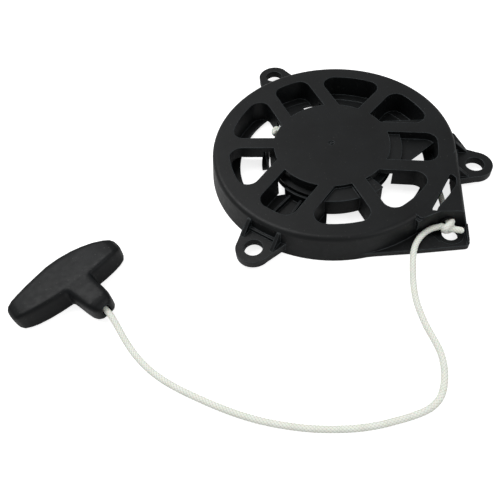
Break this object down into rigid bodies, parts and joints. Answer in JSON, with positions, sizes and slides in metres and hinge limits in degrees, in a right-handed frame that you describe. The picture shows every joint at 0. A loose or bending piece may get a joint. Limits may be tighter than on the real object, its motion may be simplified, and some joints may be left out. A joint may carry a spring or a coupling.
{
  "type": "recoil starter",
  "caption": "Round pull starter for a small engine: vented housing with ears, rope pulley, recoil spring, swinging pawls, and a rope with a T grip.",
  "frame": {"origin": "on the pulley's axis, at the housing's mounting face", "axes": "+Z along the pulley's axis, away from the engine; the rope leaves the housing towards -Y"},
  "size_m": [0.3274, 0.3048, 0.02],
  "materials": {
    "housing_plastic": "fine-grained black moulding",
    "grip_plastic": "satin black moulding",
    "rope": "braided white starter rope",
    "pulley_plastic": "dark grey moulding",
    "steel": "zinc-plated steel",
    "spring_steel": "blued spring steel"
  },
  "bodies": {
    "housing": {"starter_housing": "housing_plastic", "rope_eyelet": "steel", "rope_lead": "rope", "recoil_spring": "spring_steel", "friction_spring": "spring_steel", "friction_washer": "steel", "centre_screw": "steel"},
    "pulley": {"pulley": "pulley_plastic", "wound_rope": "rope", "pulley_knot": "rope", "pawl_spring_1": "spring_steel", "pawl_spring_2": "spring_steel"},
    "friction_plate": {"friction_plate": "steel"},
    "pawl_1": {"pawl_1": "steel"},
    "pawl_2": {"pawl_2": "steel"},
    "pull": {"pull_cord": "rope", "exit_knot": "rope", "handle_grip": "grip_plastic", "handle_insert": "steel", "handle_knot": "rope"}
  },
  "joints": [
    {"name": "handle_pull", "type": "slide", "parent": "housing", "child": "pull", "axis": [-0.1908, -0.9816, 0], "range_m": [0, 0.9], "stiffness_N_per_m": 8, "springref_m": -0.3},
    {"name": "pulley_spin", "type": "hinge", "parent": "housing", "child": "pulley", "pos_m": [0, 0, 0], "axis": [0, 0, 1], "range_deg": [-1680, 0], "deforming": ["recoil_spring"]},
    {"name": "friction_plate_turn", "type": "hinge", "parent": "pulley", "child": "friction_plate", "pos_m": [0, 0, 0], "axis": [0, 0, 1], "range_deg": [0, 30], "stiffness_Nm_per_rad": 0.004, "springref_deg": -17.19},
    {"name": "pawl_1_swing", "type": "hinge", "parent": "pulley", "child": "pawl_1", "pos_m": [0.0175, 0, 0], "axis": [0, 0, 1], "range_deg": [0, 40], "deforming": ["pawl_spring_1"]},
    {"name": "pawl_2_swing", "type": "hinge", "parent": "pulley", "child": "pawl_2", "pos_m": [-0.0175, 0, 0], "axis": [0, 0, 1], "range_deg": [0, 40], "deforming": ["pawl_spring_2"]}
  ],
  "couplings": [
    {"joint": "pulley_spin", "follows": "handle_pull", "rad_per_m": -32.5},
    {"joint": "pawl_1_swing", "follows": "friction_plate_turn", "ratio": 1.3333},
    {"joint": "pawl_2_swing", "follows": "friction_plate_turn", "ratio": 1.3333}
  ]
}
